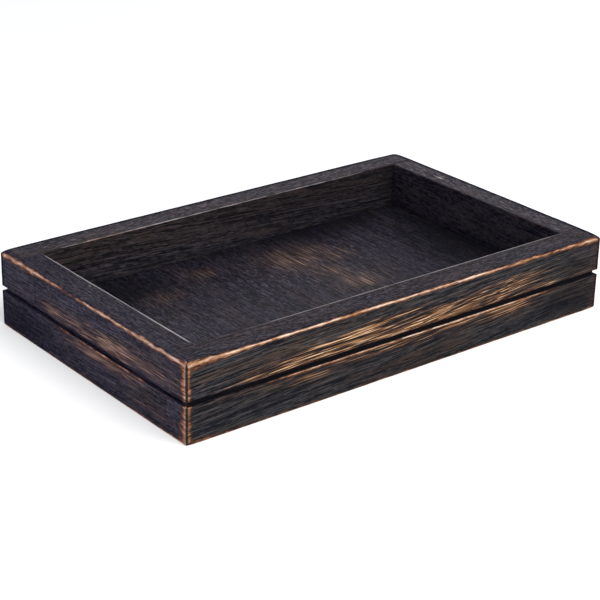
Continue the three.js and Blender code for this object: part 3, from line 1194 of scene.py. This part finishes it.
def worn_oak(name, oak):
    """Stained oak with streaks, pores, flecks, sanded patches and rubbed edges, with painted highlight and
    painted shade.
    """
    material = bpy.data.materials.new(name)
    n = OakNodes(material, oak)
    tone, pores, rub = n.tone(), n.pores(), n.ragged_rub()
    open_grain = n.ramp("open_grain", tone)
    base = n.flecked(n.stained(tone, open_grain))
    base = n.rubbed(n.sanded(base, open_grain), rub)
    base = n.marked(base, pores)
    normal = n.bump(OAK_BUMP, OAK_BUMP_HEIGHT, n.weighted(pores, PORE_RELIEF, tone))
    rough = n.weighted(pores, PORE_ROUGHNESS, OAK_ROUGHNESS)
    rough = n.weighted(n.ramp("worn", rub), WORN_ROUGHNESS, rough)
    rough = n.math("MINIMUM", n.weighted(n.shade, SHADE_ROUGHNESS, rough), 1.0)
    n.surface({"Base Color": base, "Roughness": rough, "Specular IOR Level": oak.gloss, "Normal": normal})
    return material


def plain_beech():
    """Bare dowel wood, with flecks along its length."""
    material = bpy.data.materials.new("plain_beech")
    n = Nodes(material)
    streak = n.noise(n.position(), BEECH_STREAK, BEECH_DETAIL).outputs["Fac"]
    base = n.mix(n.step(streak, *BEECH_RAMP), *map(srgb, BEECH_TONES))
    rough = n.weighted(streak, STREAK_ROUGHNESS, BEECH_ROUGHNESS)
    normal = n.bump(BEECH_BUMP, BEECH_BUMP_HEIGHT, streak)
    n.surface({"Base Color": base, "Roughness": rough, "Normal": normal})
    return material


# Stage, light and camera

def shows_backdrop(n):
    """1 for rays that show the backdrop: from the camera, off a glossy surface or through a clear one."""
    path = n.add("ShaderNodeLightPath").outputs
    mirrored = n.math("MAXIMUM", path["Is Glossy Ray"], path["Is Transmission Ray"])
    return n.math("MAXIMUM", path["Is Camera Ray"], mirrored)


def floor_white():
    """Matt white that glows for the rays that show the backdrop, more so away from the tray."""
    material = bpy.data.materials.new("studio_floor")
    n = Nodes(material)
    white = n.add("ShaderNodeBsdfDiffuse", {"Color": FLOOR_COLOUR})
    distance = n.add("ShaderNodeVectorMath", {0: n.position()}, operation="LENGTH").outputs["Value"]
    glow = n.weighted(n.step(distance, *GLOW_RANGE), GLOW_RISE, GLOW_NEAR)
    lift = n.add("ShaderNodeEmission", {"Color": WHITE, "Strength": n.product(shows_backdrop(n), glow)})
    both = n.add("ShaderNodeAddShader", {0: white.outputs[0], 1: lift.outputs[0]})
    n.add("ShaderNodeOutputMaterial", {"Surface": both.outputs[0]})
    return material


def build_floor():
    """A wide pale floor."""
    mesh = bpy.data.meshes.new("studio_floor")
    signs = ((-1, -1), (1, -1), (1, 1), (-1, 1))
    mesh.from_pydata([(x * FLOOR_REACH, y * FLOOR_REACH, 0) for x, y in signs], [], [(0, 1, 2, 3)])
    mesh.materials.append(floor_white())
    floor = bpy.data.objects.new("studio_floor", mesh)
    floor.location.z = -FLOOR_DROP
    link(floor)


def build_lamp():
    """A large soft lamp in front and above, aimed at the tray."""
    lamp = bpy.data.lights.new("softbox", "AREA")
    lamp.shape = "SQUARE"
    lamp.size = LAMP_SIZE
    lamp.energy = LAMP_POWER
    softbox = bpy.data.objects.new("softbox", lamp)
    softbox.location = LAMP_PLACE
    softbox.rotation_euler = (-softbox.location).to_track_quat("-Z", "Y").to_euler()
    link(softbox)


def build_room():
    """An even, dim room that shows as white."""
    world = bpy.data.worlds.new("studio_room")
    n = Nodes(world)
    seen = shows_backdrop(n)
    colour = n.mix(seen, ROOM_COLOUR, WHITE)
    strength = n.weighted(seen, 1 - ROOM_LIGHT, ROOM_LIGHT)
    room = n.add("ShaderNodeBackground", {"Color": colour, "Strength": strength})
    n.add("ShaderNodeOutputWorld", {"Surface": room.outputs[0]})
    bpy.context.scene.world = world


def build_camera():
    """The photograph's camera."""
    a, e, r = CAMERA_AZIMUTH, CAMERA_ELEVATION, CAMERA_ROLL
    back = Vector((math.sin(a) * math.cos(e), -math.cos(a) * math.cos(e), math.sin(e)))
    right = Vector((0, 0, 1)).cross(back).normalized()
    up = back.cross(right)
    rolled_right = math.cos(r) * right + math.sin(r) * up
    rolled_up = math.cos(r) * up - math.sin(r) * right
    data = bpy.data.cameras.new("photo_camera")
    data.sensor_width = SENSOR_MM
    data.lens = FOCAL_PIXELS / FRAME_PIXELS * SENSOR_MM
    camera = bpy.data.objects.new("photo_camera", data)
    turn = Matrix((rolled_right, rolled_up, back)).transposed()
    camera.matrix_world = Matrix.Translation(CAMERA_EYE) @ turn.to_4x4()
    link(camera)
    bpy.context.scene.camera = camera


oaks = {name: worn_oak(name, oak) for name, oak in OAKS.items()}
for name, board in BOARDS.items():
    build_rail(name, board, WEAR_AND_SHADE[name], oaks["long_rail_oak" if board.through else "side_rail_oak"])
build_panel(oaks["panel_oak"])

beech = plain_beech()
for name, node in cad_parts.items():
    if name.startswith("dowel_"):
        node.data.materials.clear()
        node.data.materials.append(beech)

build_floor()
build_lamp()
build_room()
build_camera()
bpy.context.scene.view_settings.view_transform = "Standard"
